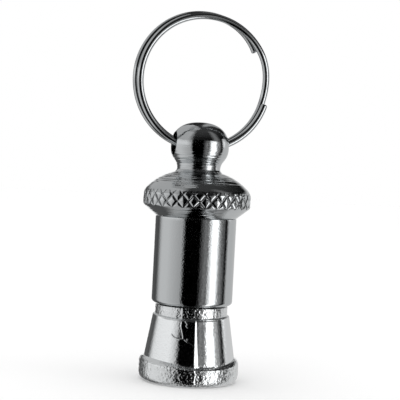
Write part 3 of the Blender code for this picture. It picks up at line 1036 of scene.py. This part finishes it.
class RING_OT_make(bpy.types.Operator):
    """Makes the split ring by sweeping its rounded wire along two turns"""

    bl_idname = "capsule.make_ring"
    bl_label = "Make Split Ring"

    def execute(self, context):
        ring = settings("ring")
        finish = settings("finish")
        shape = bmesh.new()
        bmesh.ops.create_grid(shape, x_segments=1, y_segments=1, size=0.5)
        wire_size = (ring.wire_width, ring.wire_thickness, 1)
        bmesh.ops.scale(shape, vec=wire_size, verts=shape.verts)
        round_off(shape, shape.verts[:], "VERTICES", ring.wire_round, segments=5)
        bmesh.ops.delete(shape, geom=shape.faces[:], context="FACES_ONLY")
        section = shape.verts[:] + shape.edges[:]
        sweep(shape, section, ring.stations, step=(0, 0, -1))
        sweep_angle = 2 * full_turn - (ring.back_end - ring.front_end)
        for vertex in shape.verts:
            station = round(-vertex.co.z)
            middle, outward = ring_middle(sweep_angle * station / ring.stations)
            across = outward * vertex.co.x
            vertex.co = middle + across + Vector((0, vertex.co.y, 0))
        ends = [edge for edge in shape.edges if len(edge.link_faces) == 1]
        bmesh.ops.holes_fill(shape, edges=ends, sides=0)
        round_off(shape, ends, "EDGES", ring.end_round, segments=3)
        clean(shape)
        mark_sharp(shape, sharp_over=math.radians(40))
        swing_height = next(
            joint["pos_m"][2] for joint in frame["joints"] if joint["name"] == "ring_swing"
        )
        bmesh.ops.translate(shape, vec=(0, 0, swing_height), verts=shape.verts)
        wire = plated_finish("wire_plating", finish.wire, finish.wire_peel, finish.wire_marks)
        made = keep("split_ring_wire", shape, wire)
        place(made, "split_ring", "ring")
        return {"FINISHED"}


class SEAL_OT_make(bpy.types.Operator):
    """Makes the rubber ring under the barrel"""

    bl_idname = "capsule.make_seal"
    bl_label = "Make Seal"

    def execute(self, context):
        section = settings("small").seal_radius
        low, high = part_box("seal_ring")
        center = (low.z + high.z) / 2
        middle = high.x - section
        outline = Outline(middle, center - section)
        outline.arc(middle, center, full_turn, pieces=24)
        turn_round(outline.shape, columns=160, sharp_over=quarter_turn)
        made = keep("rubber_seal", outline.shape, rubber_finish())
        place(made, "seal_ring", "base_unit")
        return {"FINISHED"}


class SLIP_OT_make(bpy.types.Operator):
    """Makes the blank paper slip, rolled into a loose spiral"""

    bl_idname = "capsule.make_slip"
    bl_label = "Make Paper Slip"

    def execute(self, context):
        small = settings("small")
        low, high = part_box("address_slip")
        outer = high.x - small.slip_thickness / 2
        outline = Outline(1, 0)
        shape = outline.shape
        roll = full_turn * small.slip_turns
        sweep(shape, [outline.last], small.slip_steps, roll, step=(0, 0, 1))
        for vertex in shape.verts:
            turns = small.slip_turns * vertex.co.z / small.slip_steps
            to_radius(vertex, outer - small.slip_pitch * turns)
            vertex.co.z = low.z
        raised = bmesh.ops.extrude_edge_only(shape, edges=shape.edges[:])["geom"]
        tops = [item for item in raised if isinstance(item, bmesh.types.BMVert)]
        bmesh.ops.translate(shape, vec=(0, 0, high.z - low.z), verts=tops)
        uprights = [e for e in shape.edges if abs(e.verts[0].co.z - e.verts[1].co.z) > mm]
        bmesh.ops.subdivide_edges(shape, edges=uprights, cuts=24, use_grid_fill=True)
        bmesh.ops.recalc_face_normals(shape, faces=shape.faces)
        mark_sharp(shape, sharp_over=half_turn)
        made = keep("rolled_slip", shape, paper_finish())
        paper = made.modifiers.new("paper", "SOLIDIFY")
        paper.thickness = small.slip_thickness
        paper.offset = 0
        apply_modifiers(made)
        place(made, "address_slip", "slip")
        return {"FINISHED"}


# Spans are in degrees, round the object or up from eye level, and each says where a screen
# starts, where it is full, where it is full still and where it ends.
floor_span = (-92, -91, -60, -48)
wall_span = (-60, -48, 13, 23)
eye_span = (-20, -10, 7, 13)
upper_span = (0, 7, 13, 23)
high_span = (13, 23, 58, 72)
ceiling_span = (58, 72, 91, 92)

studio_screens = (
    ("dim corner", (-192, -190, -150, -138), wall_span, 0.1),
    ("left screen", (-146, -124, -51, -43), wall_span, 0.45),
    ("left screen's far half", (-136, -118, -96, -51), wall_span, 0.7),
    ("left screen's top", (-138, -122, -70, -48), upper_span, 0.85),
    ("window's left wall", (0, 14, 30, 34), wall_span, 0.2),
    ("window's right wall", (44, 50, 58, 82), wall_span, 0.45),
    ("window", (24, 36, 50, 59), wall_span, 1.8),
    ("right screen", (86, 95, 190, 192), wall_span, 0.6),
    ("right screen's edge", (88, 95, 98, 110), upper_span, 1.1),
    ("back light", (148, 168, 190, 192), eye_span, 1.0),
    ("dim ceiling", (-192, -191, 191, 192), (20, 70, 91, 92), 0.05),
    ("left awning", (-192, -190, -66, -41), high_span, 0.5),
    ("window's awning", (36, 54, 62, 80), high_span, 0.2),
    ("right awning", (143, 150, 157, 163), high_span, 0.4),
    ("ceiling", (-192, -190, -90, -55), ceiling_span, 0.4),
    ("floor on the left", (-192, -190, -86, -66), floor_span, 0.45),
    ("floor by the window", (48, 64, 76, 92), floor_span, 0.85),
    ("floor on the right", (100, 122, 130, 142), floor_span, 0.35),
)
clutter_screens = (
    ("shelves by the window", (9, 12, 30, 36), wall_span, 1.0),
    ("shelves on the right", (50, 56, 86, 92), wall_span, 1.0),
)


def within(tree, value, span):
    """1 inside a span and 0 outside, given as (starts, is full, is full still, ends)."""
    starts, full, still_full, ends = (math.radians(degrees) for degrees in span)
    entered = rising(tree, value, starts, full)
    return calculate(tree, "MULTIPLY", entered, falling(tree, value, still_full, ends))


def put_screens(tree, azimuth, height, screens, room):
    """Puts each screen over the room before it, by its way round, height and brightness."""
    for name, round_span, height_span, bright in screens:
        across = within(tree, azimuth, round_span)
        seen = calculate(tree, "MULTIPLY", across, within(tree, height, height_span))
        room = mix_colors(tree, seen, room, (bright, bright, bright, 1), label=name)
    return room


def make_world():
    """A studio of pale screens and dark gaps that only reflections see, and plain light."""
    black = (0, 0, 0, 1)
    white = (1, 1, 1, 1)
    world = bpy.data.worlds.new("studio")
    bpy.context.scene.world = world
    world.use_nodes = True
    tree = world.node_tree
    tree.nodes.clear()
    source = add_node(tree, "TexCoord").outputs["Generated"]
    parts = add_node(tree, "SeparateXYZ", {"Vector": source}).outputs
    to_front = calculate(tree, "MULTIPLY", parts["Y"], -1)
    azimuth = calculate(tree, "ARCTAN2", parts["X"], to_front)
    height = calculate(tree, "ARCSINE", parts["Z"])
    room = put_screens(tree, azimuth, height, studio_screens, black)
    shelves = put_screens(tree, azimuth, height, clutter_screens, black)
    darkest, brightest = 0.25, 1.9
    clutter = grain(tree, source, 22, detail=2.0)
    clutter = remap(tree, clutter, 0.38, 0.64, darkest, brightest)
    room = mix_colors(tree, shelves, room, clutter, blend_type="MULTIPLY")
    path = add_node(tree, "LightPath").outputs
    shiny = calculate(tree, "ADD", path["Is Glossy Ray"], path["Is Transmission Ray"], clamp=True)
    seen = mix_colors(tree, shiny, white, room)
    background = add_node(tree, "Background", {"Color": seen}).outputs["Background"]
    add_node(tree, "OutputWorld", {"Surface": background})


def make_floor():
    shape = bmesh.new()
    bmesh.ops.create_grid(shape, x_segments=12, y_segments=12, size=1.5)
    material, _, shader = new_material("pale_floor", settings("finish").floor, roughness=0.8)
    shader.inputs["Specular IOR Level"].default_value = 0
    made = keep("studio_floor", shape, material)
    made.visible_glossy = False


def make_lamp(name, where, target, size, power):
    lamp = bpy.data.lights.new(name, "AREA")
    lamp.shape = "DISK"
    lamp.size = size
    lamp.energy = power
    made = add_object(name, lamp)
    made.location = where
    aim = Vector(target) - Vector(where)
    made.rotation_euler = aim.to_track_quat("-Z", "Y").to_euler()
    made.visible_glossy = False
    made.visible_camera = False


def make_camera():
    """The photo's camera: a little to the left of the front, almost level, tilted 3 degrees."""
    turn = math.radians(-15)
    rise = math.radians(1.15)
    roll = math.radians(3.0)
    distance = 0.1698
    focal_pixels = 1146
    frame_pixels = 400
    axis_shift_pixels = 3.0
    middle = Vector((0, 0, 0.02676))
    level = math.cos(rise)
    back = Vector((math.sin(turn) * level, -math.cos(turn) * level, math.sin(rise)))
    right = Vector((0, 0, 1)).cross(back).normalized()
    up = back.cross(right)
    target = middle + right * (axis_shift_pixels / focal_pixels * distance)
    facing = Matrix((right, up, back)).transposed() @ Matrix.Rotation(roll, 3, "Z")
    camera = bpy.data.cameras.new("photo_camera")
    camera.sensor_width = 36
    camera.lens = camera.sensor_width * focal_pixels / frame_pixels
    camera.clip_start = 1 * mm
    made = add_object("photo_camera", camera)
    made.matrix_world = Matrix.Translation(target + back * distance) @ facing.to_4x4()
    bpy.context.scene.camera = made


class STUDIO_OT_make(bpy.types.Operator):
    """Makes the floor, the light, the studio's reflections and the camera"""

    bl_idname = "capsule.make_studio"
    bl_label = "Make Studio"

    def execute(self, context):
        context.scene.view_settings.view_transform = "Standard"
        make_world()
        make_floor()
        middle = (0, 0, 0.027)
        make_lamp("left_softbox", (-0.35, -0.30, 0.35), middle, size=0.30, power=0.15)
        make_lamp("right_softbox", (0.40, -0.20, 0.30), middle, size=0.25, power=0.10)
        make_camera()
        return {"FINISHED"}


class CAPSULE_PT_maker(bpy.types.Panel):
    """The capsule's sizes and the buttons that make its pieces"""

    bl_label = "Address Capsule"
    bl_idname = "CAPSULE_PT_maker"
    bl_space_type = "VIEW_3D"
    bl_region_type = "UI"
    bl_category = "Capsule"

    def draw(self, context):
        for name, group in setting_groups.items():
            box = self.layout.box()
            box.label(text=name.capitalize())
            for key in group.__annotations__:
                box.prop(settings(name), key)
        for operator in operators:
            self.layout.operator(operator.bl_idname)


setting_groups = {
    "thread": ThreadSettings,
    "head": HeadSettings,
    "barrel": BarrelSettings,
    "base": BaseSettings,
    "ring": RingSettings,
    "small": SmallPieceSettings,
    "finish": FinishSettings,
}

operators = (
    STUDIO_OT_make,
    BASE_OT_make,
    SEAL_OT_make,
    SLIP_OT_make,
    BARREL_OT_make,
    HEAD_OT_make,
    RING_OT_make,
)


def register():
    for name, group in setting_groups.items():
        bpy.utils.register_class(group)
        setattr(bpy.types.Scene, "capsule_" + name, PointerProperty(type=group))
    for operator in operators:
        bpy.utils.register_class(operator)
    bpy.utils.register_class(CAPSULE_PT_maker)


def unregister():
    bpy.utils.unregister_class(CAPSULE_PT_maker)
    for operator in reversed(operators):
        bpy.utils.unregister_class(operator)
    for name, group in reversed(setting_groups.items()):
        delattr(bpy.types.Scene, "capsule_" + name)
        bpy.utils.unregister_class(group)


def main():
    register()
    bpy.ops.capsule.make_studio()
    bpy.ops.capsule.make_base()
    bpy.ops.capsule.make_seal()
    bpy.ops.capsule.make_slip()
    bpy.ops.capsule.make_barrel()
    bpy.ops.capsule.make_head()
    bpy.ops.capsule.make_ring()


if __name__ == "__main__":
    main()
